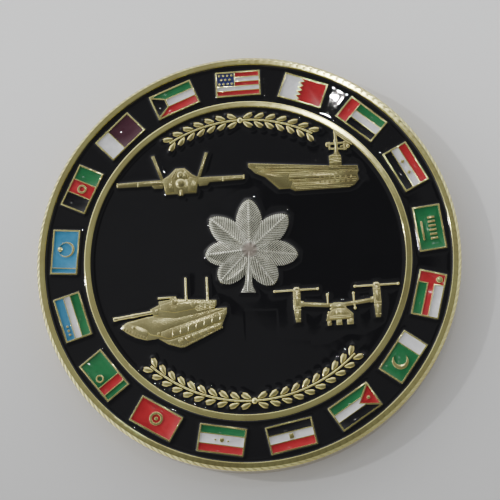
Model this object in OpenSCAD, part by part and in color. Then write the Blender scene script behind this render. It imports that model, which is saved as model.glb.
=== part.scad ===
/* [Coin] */
// Outside diameter of the coin
coin_d = 50.8; // [48:0.1:56]
// Thickness over both rims
coin_t = 4.0; // [3.6:0.1:5]
// Width of the outer rim
rim_w = 1.0; // [0.8:0.1:1.6]
// Bevel on both outer shoulders
shoulder = 0.35; // [0.25:0.05:0.45]
// Number of oblique nicks round each shoulder
nick_count = 180; // [90:10:180]
// Depth of the nicks
nick_depth = 0.15; // [0.08:0.01:0.2]

/* [Ring and pits] */
// Middle radius of the inner ring
ring_r = 19.25; // [18.8:0.05:19.4]
// Width of the inner ring
ring_w = 0.75; // [0.5:0.05:0.9]
// Depth of the front pits below the rim
pit_depth = 1.0; // [0.8:0.05:1.3]
// Depth of the back pits below the rim
back_depth = 0.7; // [0.5:0.05:0.9]
// How far the black enamel lies below the rim
black_drop = 0.5; // [0.35:0.05:0.6]
// How far the flag colours lie below the rim
colour_drop = 0.28; // [0.2:0.02:0.32]

/* [Flags] */
// Length of a flag over its frame
flag_w = 5.5; // [5:0.1:5.8]
// Height of a flag over its frame
flag_h = 3.25; // [3:0.05:3.5]
// Radius to the middle of the flags
flag_r = 22.0; // [21.9:0.05:22.1]
// Width of the metal frame round a flag
frame_w = 0.18; // [0.16:0.02:0.3]
// Width of the metal lines between colours
line_w = 0.12; // [0.1:0.02:0.2]

/* [Ornament] */
// Pitch of the laurel leaves along the bands, in degrees
laurel_pitch = 4.5; // [4.2:0.1:5.5]
// Length of a laurel leaf
laurel_l = 1.5; // [1.2:0.1:1.6]

/* [Hidden] */
FLAG_COUNT = 17;

$fn = 96;
ROUND_FN = 360;
SMALL_FN = 32;

coin_r = coin_d / 2;
rim_in = coin_r - rim_w;
ring_in = ring_r - ring_w / 2;
ring_out = ring_r + ring_w / 2;
// Levels above the reverse rest plane
floor_z = coin_t - pit_depth;
black_z = coin_t - black_drop;
colour_z = coin_t - colour_drop;
frame_z = coin_t - 0.12;
ring_z = coin_t - 0.05;
relief_z = coin_t;
back_floor_z = back_depth;
back_enamel_z = 0.35;
back_ring_z = 0.05;
// How far raised work is rooted below a pit floor
root = 0.2;

GOLD = "darkkhaki";
SILVER = "silver";
BLACK = "#16161a";
COLOURS = [["blue", "#32376a"], ["red", "#b4282d"], ["white", "#e6e6e8"], ["green", "#1e6e32"],
           ["black", "#16161a"], ["skyblue", "#3c8cbe"], ["maroon", "#3c2832"]];

// ---- small outlines ----

// Pointed oval of two arcs along X
module lens(length, width) {
    arc_r = (length * length / 4 + width * width / 4) / width;
    intersection() {
        translate([0, width / 2 - arc_r]) circle(arc_r);
        translate([0, arc_r - width / 2]) circle(arc_r);
    }
}

// Straight bar between two points
module bar(from, to, width) {
    run = to - from;
    translate(from) rotate(atan2(run.y, run.x)) translate([0, -width / 2]) square([norm(run), width]);
}

module crescent(radius, thick, shift) {
    difference() {
        circle(radius, $fn = SMALL_FN);
        translate([shift, 0]) circle(radius - thick, $fn = SMALL_FN);
    }
}

module annulus(r_in, r_out) {
    difference() {
        circle(r_out, $fn = SMALL_FN);
        circle(r_in, $fn = SMALL_FN);
    }
}

// ---- flags: u runs from hoist to fly, v from bottom to top, both 0 to 1 inside the frame ----

in_w = flag_w - 2 * frame_w;
in_h = flag_h - 2 * frame_w;
function fx(u) = (u - 0.5) * in_w;
function fy(v) = (v - 0.5) * in_h;
// An inner border of a colour stands back half a line from the flag's own division
function back(t, side) = t == 0 || t == 1 ? 0 : side * line_w / 2;
function field(u0, v0, u1, v1) =
    let (xa = fx(u0) + back(u0, 1), xb = fx(u1) + back(u1, -1),
         ya = fy(v0) + back(v0, 1), yb = fy(v1) + back(v1, -1))
    [[xa, ya], [xb, ya], [xb, yb], [xa, yb]];

THIRD = 1 / 3;
TEETH = 5;
function serration(u_root, u_tip, shift) =
    [for (k = [0 : 2 * TEETH]) [fx(k % 2 == 0 ? u_root : u_tip) + shift, fy(k / (2 * TEETH))]];
function reversed(list) = [for (k = [len(list) - 1 : -1 : 0]) list[k]];

// Hoist triangle with its apex at u, and the three stripes that run up to it
apex_u = 0.38;
slant = 0.8 * line_w;
function beside_triangle(v) = fx(apex_u * (v < 0.5 ? 2 * v : 2 - 2 * v)) + slant;
// Hoist trapezoid: full height at the hoist, a third of it at its inner edge
trap_u = 0.3;
function beside_trapezoid(v) = fx(trap_u * min(1, v < 0.5 ? v / THIRD : (1 - v) / THIRD)) + slant;

half_line = line_w / 2;
function stripe_beside(kind, v0, v1) =
    let (ya = fy(v0) + back(v0, 1), yb = fy(v1) + back(v1, -1),
         xa = kind == "triangle" ? beside_triangle(v0) : beside_trapezoid(v0),
         xb = kind == "triangle" ? beside_triangle(v1) : beside_trapezoid(v1))
    v0 < 0.5 && v1 > 0.5
        ? (kind == "triangle" ? [[xa, ya], [fx(1), ya], [fx(1), yb], [xb, yb], [beside_triangle(0.5), 0]]
                              : [[xa, ya], [fx(1), ya], [fx(1), yb], [xb, yb]])
        : [[xa, ya], [fx(1), ya], [fx(1), yb], [xb, yb]];

// Every colour cell: flag number, colour name, outline
CELLS = [
    [1, "blue", field(0, 0.4, 0.42, 1)],
    [1, "red", field(0.42, 0.8, 1, 1)],
    [1, "red", field(0.42, 0.4, 1, 0.6)],
    [1, "red", field(0, 0, 1, 0.2)],
    [1, "white", field(0.42, 0.6, 1, 0.8)],
    [1, "white", field(0, 0.2, 1, 0.4)],
    [2, "white", concat([[fx(0), fy(1)], [fx(0), fy(0)]], serration(0.36, 0.47, -slant))],
    [2, "red", concat([[fx(1), fy(0)], [fx(1), fy(1)]], reversed(serration(0.36, 0.47, slant)))],
    [3, "red", field(0, 0, 0.25, 1)],
    [3, "green", field(0.25, 2 * THIRD, 1, 1)],
    [3, "white", field(0.25, THIRD, 1, 2 * THIRD)],
    [3, "black", field(0.25, 0, 1, THIRD)],
    [4, "red", field(0, 2 * THIRD, 1, 1)],
    [4, "white", field(0, THIRD, 1, 2 * THIRD)],
    [4, "black", field(0, 0, 1, THIRD)],
    [5, "green", field(0, 0, 1, 1)],
    [6, "red", [[fx(0), fy(0)], [fx(0.25) - half_line, fy(0)],
                [fx(0.25) - half_line, fy(0.36) + half_line], [fx(1), fy(0.36) + half_line],
                [fx(1), fy(0.64) - half_line], [fx(0.25) - half_line, fy(0.64) - half_line],
                [fx(0.25) - half_line, fy(1)], [fx(0), fy(1)]]],
    [6, "white", field(0.25, 0.64, 1, 1)],
    [6, "green", field(0.25, 0, 1, 0.36)],
    [7, "white", field(0, 0, 0.27, 1)],
    [7, "green", field(0.27, 0, 1, 1)],
    [8, "red", [[fx(0), fy(0) + 2 * slant], [fx(apex_u) - slant, 0], [fx(0), fy(1) - 2 * slant]]],
    [8, "black", stripe_beside("triangle", 2 * THIRD, 1)],
    [8, "white", stripe_beside("triangle", THIRD, 2 * THIRD)],
    [8, "green", stripe_beside("triangle", 0, THIRD)],
    [9, "red", field(0, 2 * THIRD, 1, 1)],
    [9, "white", field(0, THIRD, 1, 2 * THIRD)],
    [9, "black", field(0, 0, 1, THIRD)],
    [10, "red", field(0, 0.7, 1, 1)],
    [10, "white", field(0, 0.3, 1, 0.7)],
    [10, "green", field(0, 0, 1, 0.3)],
    [11, "red", field(0, 0, 1, 1)],
    [12, "green", field(0, 0, 0.13, 1)],
    [12, "red", field(0.13, 0, 0.34, 1)],
    [12, "green", field(0.34, 0, 1, 1)],
    [13, "blue", field(0, 0.64, 1, 1)],
    [13, "white", field(0, 0.36, 1, 0.64)],
    [13, "green", field(0, 0, 1, 0.36)],
    [14, "skyblue", field(0, 0, 0.11, 1)],
    [14, "skyblue", field(0.11, 0, 1, 1)],
    [15, "black", field(0, 0, THIRD, 1)],
    [15, "red", field(THIRD, 0, 2 * THIRD, 1)],
    [15, "green", field(2 * THIRD, 0, 1, 1)],
    [16, "white", field(0, 0, 0.37, 1)],
    [16, "maroon", field(0.37, 0, 1, 1)],
    [17, "green", stripe_beside("trapezoid", 2 * THIRD, 1)],
    [17, "white", stripe_beside("trapezoid", THIRD, 2 * THIRD)],
    [17, "red", stripe_beside("trapezoid", 0, THIRD)],
    [17, "black", [[fx(0), fy(0) + 2 * slant], [fx(trap_u) - slant, fy(THIRD)],
                   [fx(trap_u) - slant, fy(2 * THIRD)], [fx(0), fy(1) - 2 * slant]]]
];

// Raised generic devices that stand in the colours, in flag coordinates
BEAD_R = 0.14;
module flag_device(flag) {
    if (flag == 1)
        for (row = [0 : 2], k = [0 : (row == 1 ? 2 : 3)])
            translate([fx(0.055 + 0.1 * k + (row == 1 ? 0.05 : 0)), fy(0.52 + 0.19 * row)])
                circle(BEAD_R, $fn = SMALL_FN);
    if (flag == 4)
        for (u = [0.35, 0.65]) translate([fx(u), 0]) rotate(45) square(0.4, center = true);
    if (flag == 5) {
        for (k = [0 : 5]) translate([fx(0.26 + 0.1 * k), fy(0.62)]) square([0.26, 0.85], center = true);
        bar([fx(0.32), fy(0.2)], [fx(0.78), fy(0.2)], 0.22);
    }
    if (flag == 6) translate([fx(0.12), fy(0.8)]) circle(0.38, $fn = SMALL_FN);
    if (flag == 7) {
        translate([fx(0.62), fy(0.5)]) rotate(-145) crescent(0.95, 0.2, 0.3);
        translate([fx(0.74), fy(0.62)]) circle(0.17, $fn = SMALL_FN);
    }
    if (flag == 8) translate([fx(0.13), 0]) circle(0.2, $fn = SMALL_FN);
    if (flag == 9) translate([0, 0]) square([0.55, 0.6], center = true);
    if (flag == 10) {
        circle(0.28, $fn = SMALL_FN);
        for (side = [-1, 1]) translate([side * 0.75, 0.05]) circle(0.13, $fn = SMALL_FN);
    }
    if (flag == 11) {
        annulus(0.5, 0.8);
        circle(0.22, $fn = SMALL_FN);
    }
    if (flag == 12) translate([fx(0.5), fy(0.72)]) annulus(0.3, 0.48);
    if (flag == 13)
        for (k = [0 : 2]) translate([fx(0.12 + 0.1 * k), fy(0.82)]) circle(BEAD_R, $fn = SMALL_FN);
    if (flag == 14) {
        translate([fx(0.56), fy(0.72)]) circle(0.3, $fn = SMALL_FN);
        translate([fx(0.56), fy(0.45)]) rotate(-90) crescent(0.95, 0.14, -0.12);
    }
    if (flag == 15) annulus(0.32, 0.56);
}

// Moves a flag drawn about the origin to its place on the band
module on_band(flag) {
    rotate(-(flag - 1) * 360 / FLAG_COUNT) translate([0, flag_r, 0]) children();
}

module flag_metal(flag) {
    on_band(flag) translate([0, 0, floor_z - root]) {
        linear_extrude(frame_z - floor_z + root) difference() {
            square([flag_w, flag_h], center = true);
            for (cell = CELLS) if (cell[0] == flag) polygon(cell[2]);
        }
        linear_extrude(frame_z - floor_z + root) flag_device(flag);
    }
}

// Cured colour of one flag, poured from the pit floor up
module flag_colour(flag, name) {
    rgb = [for (entry = COLOURS) if (entry[0] == name) entry[1]][0];
    color(rgb) on_band(flag) translate([0, 0, floor_z]) linear_extrude(colour_z - floor_z) difference() {
        for (cell = CELLS) if (cell[0] == flag && cell[1] == name) polygon(cell[2]);
        flag_device(flag);
    }
}

// ---- raised figures inside the ring ----

// Head-on jet with two canted fins
JET_AT = [-7.6, 9.95];
module jet_outline() {
    translate(JET_AT) {
        for (side = [0, 1]) mirror([side, 0]) {
            polygon([[0, 0.38], [2.3, 0.4], [7.75, 0.25], [7.75, -0.3], [2.3, -0.35], [0, -0.35]]);
            polygon([[2.0, 0.2], [2.4, 0.2], [3.5, 3.45], [3.1, 3.5]]);
            polygon([[2.1, 0], [3.7, 0], [3.3, -0.7], [2.3, -0.75]]);
        }
        polygon([[-2.25, 0.35], [-1.5, 0.75], [-0.55, 1.65], [0.55, 1.65], [1.5, 0.75], [2.25, 0.35],
                 [1.9, -1.6], [0.45, -1.6], [0.25, -1.85], [-0.25, -1.85], [-0.45, -1.6], [-1.9, -1.6]]);
    }
}

// Flat-deck ship seen from the side, its mast running up to the ring
module ship_outline() {
    polygon([[0.7, 11.65], [1.3, 11.6], [10.5, 10.65], [13.9, 10.45], [14.05, 9.8], [13.85, 9.4],
             [14.0, 8.7], [13.4, 8.0], [12.7, 7.75], [6.2, 7.75], [5.6, 8.1], [4.3, 8.1], [2.7, 9.75],
             [1.5, 10.35], [0.7, 11.2]]);
    polygon([[10.55, 10.4], [12.05, 10.4], [12.05, 11.3], [11.9, 13.3], [11.85, 14.8], [11.3, 15.0],
             [11.2, 12.1], [10.55, 11.8]]);
    bar([10.5, 13.3], [13.4, 13.3], 0.35);
    bar([10.6, 12.6], [12.8, 12.7], 0.3);
    polygon([[11.3, 14.4], [13.4, 12.9], [13.75, 13.2], [11.4, 15.3]]);
}

// Tank in three-quarter view with two aerials
module tank_outline() {
    polygon([[-16.3, -6.95], [-15.6, -6.9], [-11.5, -6.5], [-11.5, -5.6], [-15.6, -6.35], [-16.3, -6.35]]);
    polygon([[-11.9, -5.75], [-10.8, -5.25], [-10.8, -4.8], [-9.5, -4.7], [-9.4, -4.3], [-8.7, -4.3],
             [-8.6, -4.6], [-7.2, -4.8], [-3.9, -5.05], [-3.9, -5.7], [-2.7, -6.0], [-2.75, -6.7],
             [-3.1, -7.5], [-3.45, -8.45], [-4.6, -9.05], [-7.9, -10.5], [-8.45, -10.5], [-9.8, -10.05],
             [-11.0, -9.3], [-12.4, -9.4], [-13.6, -9.05], [-14.6, -8.5], [-15.3, -7.9], [-15.25, -7.45],
             [-14.7, -7.1], [-12.2, -6.65]]);
    bar([-10.9, -4.4], [-9.2, -4.4], 0.25);
    bar([-7.5, -4.9], [-7.5, -2.1], 0.28);
    bar([-4.95, -5.2], [-4.95, -2.2], 0.28);
}

// Head-on tiltrotor with its rotors up
TILT_AT = [10.36, -6.5];
ROTOR = [[2.2, 2.0], [7.3, 2.0]];
TAIL_RODS = [[[-1.1, 0], [-1.1, 1.2]], [[1.97, 0.2], [1.97, 1.2]], [[1.97, 0.4], [2.05, -0.6]]];
// Left and right edge of each wheel
WHEELS = [[-1.3, -0.85], [-0.25, 0.4], [1.0, 1.75]];
KNOB_R = 0.2;
module tiltrotor_outline() {
    translate(TILT_AT) {
        for (side = [0, 1]) mirror([side, 0]) {
            bar(ROTOR[0], ROTOR[1], 0.24);
            for (tip = ROTOR) translate(tip) circle(KNOB_R, $fn = SMALL_FN);
            polygon([[4.25, 2.3], [5.15, 2.3], [5.2, 0], [5.0, -1.9], [4.4, -1.9], [4.3, 0]]);
            polygon([[0.4, -0.35], [4.6, 0.1], [4.6, 0.55], [0.4, 0.1]]);
        }
        for (ends = TAIL_RODS) {
            bar(ends[0], ends[1], 0.22);
            translate(ends[1]) circle(KNOB_R, $fn = SMALL_FN);
        }
        for (edges = WHEELS) translate([edges[0], -2.5]) square([edges[1] - edges[0], 1]);
        polygon([[-0.75, 0.05], [-0.45, 0.2], [0.5, 0.2], [0.85, 0], [1.05, -0.5], [1.8, -1.2],
                 [1.8, -1.85], [-1.45, -1.95], [-1.2, -1.0], [-0.8, -0.7]]);
    }
}

// ---- oak leaf: seven blunt lobes round a hub, and a stem ----

LEAF_AT = [0.35, 0.8];
LOBE_W = 3.3;
// How much longer the full point of a lobe would be than the blunt tip
LOBE_BLUNT = 0.3;
// Direction from straight up and length of each lobe
LOBES = [[1.5, 6.4], [49.5, 6.25], [-47, 6.3], [100, 5.85], [-93, 5.4], [148, 5.2], [-135, 5.3]];
LEAF_STEM = [[-0.45, 0], [0.45, 0], [0.4, -4.2], [0.9, -5.2], [-0.9, -5.2], [-0.4, -4.2]];
LEAF_STEM_TURN = -4.5;
LEAF_HUB_R = 1.6;
PEG_D = 1.2;
PEG_L = 0.8;
PEG_X = 2.4;

module lobe(length) {
    full = length + LOBE_BLUNT;
    intersection() {
        translate([full / 2, 0]) lens(full, LOBE_W);
        circle(length, $fn = ROUND_FN);
    }
}

module leaf_outline() {
    translate(LEAF_AT) {
        circle(LEAF_HUB_R, $fn = SMALL_FN);
        for (place = LOBES) rotate(90 - place[0]) lobe(place[1]);
        rotate(LEAF_STEM_TURN) polygon(LEAF_STEM);
    }
}

module leaf_pegs(diameter, length) {
    translate([LEAF_AT.x, LEAF_AT.y, floor_z - length])
        for (side = [-1, 1]) translate([side * PEG_X, 0, 0])
            cylinder(d = diameter, h = length + root, $fn = SMALL_FN);
}

// ---- laurel bands above and below the figures ----

LAUREL_R = 17.3;
STEM_W = 0.26;
LEAF_W = 0.62;
LEAF_OFFSET = 0.58;
LEAF_TILT = 28;
TOP_PAIRS = 7;
BOTTOM_PAIRS = 10;

// One sprig that starts at the middle of the band and runs clockwise
module sprig(pairs) {
    for (k = [0 : pairs - 1], side = [-1, 1])
        rotate(-(k + 0.75) * laurel_pitch) translate([0, LAUREL_R + side * LEAF_OFFSET])
            rotate(side * LEAF_TILT) lens(laurel_l, LEAF_W);
    for (k = [0 : pairs - 1]) {
        a = (k + 0.25) * laurel_pitch;
        b = (k + 1) * laurel_pitch;
        bar(LAUREL_R * [sin(a), cos(a)], LAUREL_R * [sin(b), cos(b)], STEM_W);
    }
}

module laurel_outline() {
    for (side = [0, 1]) mirror([side, 0]) {
        sprig(TOP_PAIRS);
        mirror([0, 1]) sprig(BOTTOM_PAIRS);
    }
    for (side = [-1, 1]) translate([0, side * LAUREL_R]) circle(0.45, $fn = SMALL_FN);
}

// ---- reverse: compass star on the back field ----

STAR_LONG = 15;
STAR_SHORT = 9.5;
STAR_WAIST = 2.6;
module star_outline() {
    for (k = [0 : 3]) rotate(90 * k) {
        polygon([[0, 0], [STAR_WAIST, STAR_WAIST], [0, STAR_LONG], [-STAR_WAIST, STAR_WAIST]]);
        rotate(45) polygon([[0, 0], [STAR_WAIST, STAR_WAIST], [0, STAR_SHORT], [-STAR_WAIST, STAR_WAIST]]);
    }
}

// ---- the pieces ----

module nicks() {
    side = 0.8;
    reach = side / sqrt(2) - nick_depth;
    for (k = [0 : nick_count - 1], face = [0, 1])
        rotate(k * 360 / nick_count) translate([0, 0, face * coin_t]) mirror([0, 0, 1 - face])
            translate([coin_r - shoulder / 2, 0, -shoulder / 2]) rotate([0, 45, 0]) rotate([0, 0, 30])
                translate([0, 0, reach]) rotate([45, 0, 0]) cube([1.2, side, side], center = true);
}

module turned_body() {
    rotate_extrude($fn = ROUND_FN) polygon([
        [0, back_floor_z], [ring_in, back_floor_z], [ring_in, back_ring_z], [ring_out, back_ring_z],
        [ring_out, back_floor_z], [rim_in, back_floor_z], [rim_in, 0], [coin_r - shoulder, 0],
        [coin_r, shoulder], [coin_r, coin_t - shoulder], [coin_r - shoulder, coin_t], [rim_in, coin_t],
        [rim_in, floor_z], [ring_out, floor_z], [ring_out, ring_z], [ring_in, ring_z],
        [ring_in, floor_z], [0, floor_z]]);
}

module coin_blank() {
    color(GOLD) difference() {
        union() {
            turned_body();
            for (flag = [1 : FLAG_COUNT]) flag_metal(flag);
            translate([0, 0, floor_z - root]) linear_extrude(relief_z - floor_z + root) {
                jet_outline();
                ship_outline();
                tank_outline();
                tiltrotor_outline();
            }
            translate([0, 0, floor_z - root]) linear_extrude(frame_z - floor_z + root) laurel_outline();
            translate([0, 0, back_ring_z]) linear_extrude(back_floor_z - back_ring_z + root) star_outline();
        }
        nicks();
        leaf_pegs(PEG_D, PEG_L);
    }
}

module silver_leaf() {
    color(SILVER) {
        translate([0, 0, floor_z]) linear_extrude(relief_z - floor_z) leaf_outline();
        leaf_pegs(PEG_D, PEG_L);
    }
}

module field_enamel() {
    color(BLACK) translate([0, 0, floor_z]) linear_extrude(black_z - floor_z) difference() {
        circle(ring_in, $fn = ROUND_FN);
        jet_outline();
        ship_outline();
        tank_outline();
        tiltrotor_outline();
        laurel_outline();
        leaf_outline();
    }
}

module band_enamel() {
    color(BLACK) translate([0, 0, floor_z]) linear_extrude(black_z - floor_z) difference() {
        circle(rim_in, $fn = ROUND_FN);
        circle(ring_out, $fn = ROUND_FN);
        for (flag = [1 : FLAG_COUNT]) on_band(flag) square([flag_w, flag_h], center = true);
    }
}

module reverse_enamel() {
    color(BLACK) translate([0, 0, back_enamel_z]) linear_extrude(back_floor_z - back_enamel_z)
        difference() {
            circle(ring_in, $fn = ROUND_FN);
            star_outline();
        }
}

coin_blank();
silver_leaf();
field_enamel();
band_enamel();
reverse_enamel();
flag_colour(1, "blue");  // flag01_blue
flag_colour(1, "red");  // flag01_red
flag_colour(1, "white");  // flag01_white
flag_colour(2, "white");  // flag02_white
flag_colour(2, "red");  // flag02_red
flag_colour(3, "red");  // flag03_red
flag_colour(3, "green");  // flag03_green
flag_colour(3, "white");  // flag03_white
flag_colour(3, "black");  // flag03_black
flag_colour(4, "red");  // flag04_red
flag_colour(4, "white");  // flag04_white
flag_colour(4, "black");  // flag04_black
flag_colour(5, "green");  // flag05_green
flag_colour(6, "red");  // flag06_red
flag_colour(6, "white");  // flag06_white
flag_colour(6, "green");  // flag06_green
flag_colour(7, "white");  // flag07_white
flag_colour(7, "green");  // flag07_green
flag_colour(8, "red");  // flag08_red
flag_colour(8, "black");  // flag08_black
flag_colour(8, "white");  // flag08_white
flag_colour(8, "green");  // flag08_green
flag_colour(9, "red");  // flag09_red
flag_colour(9, "white");  // flag09_white
flag_colour(9, "black");  // flag09_black
flag_colour(10, "red");  // flag10_red
flag_colour(10, "white");  // flag10_white
flag_colour(10, "green");  // flag10_green
flag_colour(11, "red");  // flag11_red
flag_colour(12, "green");  // flag12_green
flag_colour(12, "red");  // flag12_red
flag_colour(13, "blue");  // flag13_blue
flag_colour(13, "white");  // flag13_white
flag_colour(13, "green");  // flag13_green
flag_colour(14, "skyblue");  // flag14_skyblue
flag_colour(15, "black");  // flag15_black
flag_colour(15, "red");  // flag15_red
flag_colour(15, "green");  // flag15_green
flag_colour(16, "white");  // flag16_white
flag_colour(16, "maroon");  // flag16_maroon
flag_colour(17, "green");  // flag17_green
flag_colour(17, "white");  // flag17_white
flag_colour(17, "red");  // flag17_red
flag_colour(17, "black");  // flag17_black
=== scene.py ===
import math

import bmesh
import bpy
import numpy as np
from mathutils import Matrix, Vector


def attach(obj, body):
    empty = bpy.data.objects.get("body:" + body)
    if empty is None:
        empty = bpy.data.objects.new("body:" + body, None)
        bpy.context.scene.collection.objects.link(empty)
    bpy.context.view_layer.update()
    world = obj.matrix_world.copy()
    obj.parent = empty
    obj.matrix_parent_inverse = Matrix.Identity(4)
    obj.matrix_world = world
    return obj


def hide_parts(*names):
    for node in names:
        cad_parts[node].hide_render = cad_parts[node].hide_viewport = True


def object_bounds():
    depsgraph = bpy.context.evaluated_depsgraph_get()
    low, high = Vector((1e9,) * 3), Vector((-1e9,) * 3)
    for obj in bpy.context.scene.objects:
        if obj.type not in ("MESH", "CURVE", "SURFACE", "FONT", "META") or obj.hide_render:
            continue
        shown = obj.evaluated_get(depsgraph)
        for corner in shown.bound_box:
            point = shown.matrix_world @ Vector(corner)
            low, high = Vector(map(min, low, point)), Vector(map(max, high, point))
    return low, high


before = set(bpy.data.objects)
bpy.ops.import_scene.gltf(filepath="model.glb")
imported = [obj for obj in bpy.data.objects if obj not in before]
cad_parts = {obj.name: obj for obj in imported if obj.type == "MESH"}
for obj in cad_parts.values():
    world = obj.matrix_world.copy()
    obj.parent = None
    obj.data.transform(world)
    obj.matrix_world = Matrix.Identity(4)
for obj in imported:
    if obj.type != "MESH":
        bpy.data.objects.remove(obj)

cad_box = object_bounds()
MM = 0.001

# ---------------------------------------------------------------------------------------------
# The table it lies on, the room, the lamps and the camera. The coin lies obverse up on a pale board
# in a softly lit room, with a small lamp behind that strikes the rim and one at the left.

coin_radius, _, coin_top = cad_box[1]


class Shade:
    """One output socket of a shader tree that can be used in arithmetic."""

    def __init__(self, tree, socket):
        self.tree = tree
        self.socket = socket

    def node(self, kind, settings=None, stops=None, output=0, **inputs):
        made = self.tree.nodes.new(kind)
        for name, value in (settings or {}).items():
            setattr(made, name, value)
        if stops:
            ramp = made.color_ramp
            while len(ramp.elements) < len(stops):
                ramp.elements.new(0.5)
            for element, (place, level) in zip(ramp.elements, stops):
                element.position = place
                element.color = (level, level, level, 1)
        for name, value in inputs.items():
            self.feed(made.inputs[int(name[1:]) if name[0] == "_" else name.replace("_", " ")], value)
        return Shade(self.tree, made.outputs[output])

    def feed(self, target, value):
        if isinstance(value, Shade):
            self.tree.links.new(value.socket, target)
        elif target.type == "RGBA" and len(value) == 3:
            target.default_value = (*value, 1)
        else:
            target.default_value = value

    def math(self, operation, first, second):
        return self.node("ShaderNodeMath", {"operation": operation}, _0=first, _1=second)

    def __add__(self, other): return self.math("ADD", self, other)
    def __radd__(self, other): return self.math("ADD", other, self)
    def __sub__(self, other): return self.math("SUBTRACT", self, other)
    def __rsub__(self, other): return self.math("SUBTRACT", other, self)
    def __mul__(self, other): return self.math("MULTIPLY", self, other)
    def __rmul__(self, other): return self.math("MULTIPLY", other, self)
    def __truediv__(self, other): return self.math("DIVIDE", self, other)

    def axis(self, k):
        """X, Y or Z of this place for k 0, 1 or 2."""
        return self.node("ShaderNodeSeparateXYZ", output=k, Vector=self)

    def between(self, low, high):
        """0 at low and 1 at high, eased."""
        return self.node("ShaderNodeMapRange", {"interpolation_type": "SMOOTHSTEP"},
                         Value=self, From_Min=low, From_Max=high)

    def mix(self, low, high):
        """The colour low where this is 0 and high where it is 1."""
        return self.node("ShaderNodeMix", {"data_type": "RGBA"}, output=2, _0=self, _6=low, _7=high)


def new_finish(name, metallic=0.0, roughness=0.5):
    """An empty Principled finish: its Shade, its shader node, and the object's own coordinates."""
    finish = bpy.data.materials.new(name)
    finish.use_nodes = True
    tree = finish.node_tree
    skin = tree.nodes["Principled BSDF"]
    skin.inputs["Metallic"].default_value = metallic
    skin.inputs["Roughness"].default_value = roughness
    place = tree.nodes.new("ShaderNodeTexCoord")
    return finish, skin, Shade(tree, place.outputs["Object"])


def noise(place, per_mm, detail=2.0, roughness=0.5):
    return place.node("ShaderNodeTexNoise", Vector=place, Scale=per_mm / MM,
                      Detail=detail, Roughness=roughness)


def bump(place, strength, depth_mm, height):
    return place.node("ShaderNodeBump", Strength=strength, Distance=depth_mm * MM, Height=height)


board, board_skin, board_at = new_finish("board_paper", roughness=0.75)
board_tone = noise(board_at, 0.02, 3).mix((0.58, 0.585, 0.59), (0.62, 0.62, 0.615))
# Painted light: the board is painted lighter towards the back, as if lit more strongly from above and
# behind.
board_painted_light = board_at.axis(1).between(-0.04, 0.035)
board_at.feed(board_skin.inputs["Base Color"], board_painted_light.mix(board_tone, (0.965, 0.97, 0.975)))

floor_bm = bmesh.new()
bmesh.ops.create_grid(floor_bm, x_segments=2, y_segments=2, size=1.5)
floor_mesh = bpy.data.meshes.new("floor")
floor_bm.to_mesh(floor_mesh)
floor_bm.free()
floor_mesh.materials.append(board)
floor = bpy.data.objects.new("floor", floor_mesh)
bpy.context.scene.collection.objects.link(floor)

# The room: brighter towards the horizon than overhead, with the dark shape of someone standing over
# the board. A strip of ceiling on each side of that shape is a little darker than the rest.
room = bpy.data.worlds.new("room")
bpy.context.scene.world = room
room.use_nodes = True
room_tree = room.node_tree
room_dir = Shade(room_tree, room_tree.nodes.new("ShaderNodeTexCoord").outputs["Generated"])
room_x, room_y, room_up = (room_dir.axis(k) for k in range(3))
glow_stops = [(0.0, 2.0), (0.35, 1.9), (0.7, 0.75), (0.86, 0.33), (1.0, 0.28)]
room_glow = room_up.node("ShaderNodeValToRGB", stops=glow_stops, Fac=room_up)
room_side = 1 + 0.8 * (0.6 * room_y - 0.7 * room_x)
overhead = room_up.between(0.5, 0.8)
tilt_x, tilt_y = room_x / room_up, room_y / room_up
lean_x, lean_y = (tilt_x - 0.004) / 0.085, (tilt_y - 0.25) / 0.066
person = (lean_x * lean_x + lean_y * lean_y).between(1.25, 0.75) * overhead
strips = (tilt_y.between(0.26, 0.35) + tilt_y.between(0.15, 0.07)) * overhead
room_light = room_glow * room_side * (1 - 0.5 * person) * (1 - 0.2 * strips)
room_back = room_tree.nodes["Background"]
room_back.inputs["Color"].default_value = (1, 1, 1, 1)
room_dir.feed(room_back.inputs["Strength"], room_light)


def lamp(name, place, aim, size, power, colour=(1, 1, 1)):
    light = bpy.data.lights.new(name, "AREA")
    light.shape = "DISK"
    light.size = size
    light.energy = power
    light.color = colour
    stand = bpy.data.objects.new(name, light)
    stand.location = place
    stand.rotation_euler = (Vector(aim) - Vector(place)).to_track_quat("-Z", "Y").to_euler()
    bpy.context.scene.collection.objects.link(stand)


middle = (0, 0, coin_top)
lamp("rim_lamp", (0.031, 0.370, 0.94), middle, 0.005, 0.36, (1.0, 0.98, 0.95))
lamp("left_lamp", (-0.52, 0.12, 0.46), middle, 0.02, 1.0)

# The camera stands almost straight above, a little towards the design's foot, and turned with it
camera_data = bpy.data.cameras.new("camera")
camera_data.lens = 96.5
camera_data.sensor_width = 36
camera_data.clip_start = 0.01
camera = bpy.data.objects.new("camera", camera_data)
bpy.context.scene.collection.objects.link(camera)
bpy.context.scene.camera = camera
ROLL = math.radians(-3.95)
across = Vector((0.99758, 0.01691, -0.06741))
up = Vector((0, 0.96995, 0.2433))
towards = Vector((0.0695, -0.24271, 0.9676))
stand = coin_radius * (0.01452 * across + 0.02845 * up + 6.2947 * towards) + Vector((0, 0, coin_top))
spin = Matrix.Rotation(ROLL, 4, "Z")
pose = Matrix((across, up, towards)).transposed().to_4x4()
camera.matrix_world = spin @ Matrix.Translation(stand) @ pose

# ---------------------------------------------------------------------------------------------
# Gold plate: a struck blank, plated pale gold over bright nickel. The metal is polished, browner and darker
# in its hollows (partly patina, partly painted shade), painted darker at the foot of the design as shade,
# with fine hairlines where it has been handled.

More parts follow.
